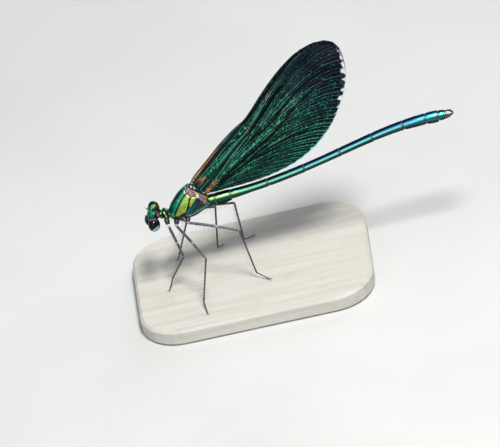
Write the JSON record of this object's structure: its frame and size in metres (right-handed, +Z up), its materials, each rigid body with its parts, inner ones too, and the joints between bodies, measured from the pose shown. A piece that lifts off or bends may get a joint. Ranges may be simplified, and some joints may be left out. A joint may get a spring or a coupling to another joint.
{
  "type": "damselfly",
  "caption": "Still, life-size model of a metallic blue-green male demoiselle damselfly at rest with closed dark wings, on a plain flat display base.",
  "frame": {"origin": "centre of the bounding box's underside, on the floor under the display base", "axes": "+X towards the tail, +Y towards the insect's right side, +Z up"},
  "size_m": [0.0522, 0.025, 0.0396],
  "materials": {
    "base": "matte pale paint",
    "head": "metallic green cuticle",
    "thorax": "metallic green cuticle with dark sutures",
    "abdomen": "metallic teal cuticle",
    "wing": "dark iridescent membrane",
    "eye": "glossy black-brown",
    "dark": "black cuticle",
    "leg": "purplish black cuticle"
  },
  "bodies": {
    "root": {"stand_base": "base", "head": "head", "face": "head", "mouthparts": "dark", "eye_left": "eye", "eye_right": "eye", "antenna_left": "dark", "antenna_right": "dark", "prothorax": "thorax", "thorax": "thorax", "forewing_left": "wing", "forewing_right": "wing", "hindwing_left": "wing", "hindwing_right": "wing", "abdomen_1": "abdomen", "abdomen_2": "abdomen", "abdomen_3": "abdomen", "abdomen_4": "abdomen", "abdomen_5": "abdomen", "abdomen_6": "abdomen", "abdomen_7": "abdomen", "abdomen_8": "abdomen", "abdomen_9": "abdomen", "abdomen_10": "abdomen", "cercus_left": "dark", "cercus_right": "dark", "paraproct_left": "dark", "paraproct_right": "dark", "coxa_fore_left": "leg", "coxa_fore_right": "leg", "coxa_mid_left": "leg", "coxa_mid_right": "leg", "coxa_hind_left": "leg", "coxa_hind_right": "leg", "femur_fore_left": "leg", "femur_fore_right": "leg", "femur_mid_left": "leg", "femur_mid_right": "leg", "femur_hind_left": "leg", "femur_hind_right": "leg", "tibia_fore_left": "leg", "tibia_fore_right": "leg", "tibia_mid_left": "leg", "tibia_mid_right": "leg", "tibia_hind_left": "leg", "tibia_hind_right": "leg", "tarsus_fore_left": "leg", "tarsus_fore_right": "leg", "tarsus_mid_left": "leg", "tarsus_mid_right": "leg", "tarsus_hind_left": "leg", "tarsus_hind_right": "leg"}
  },
  "joints": []
}
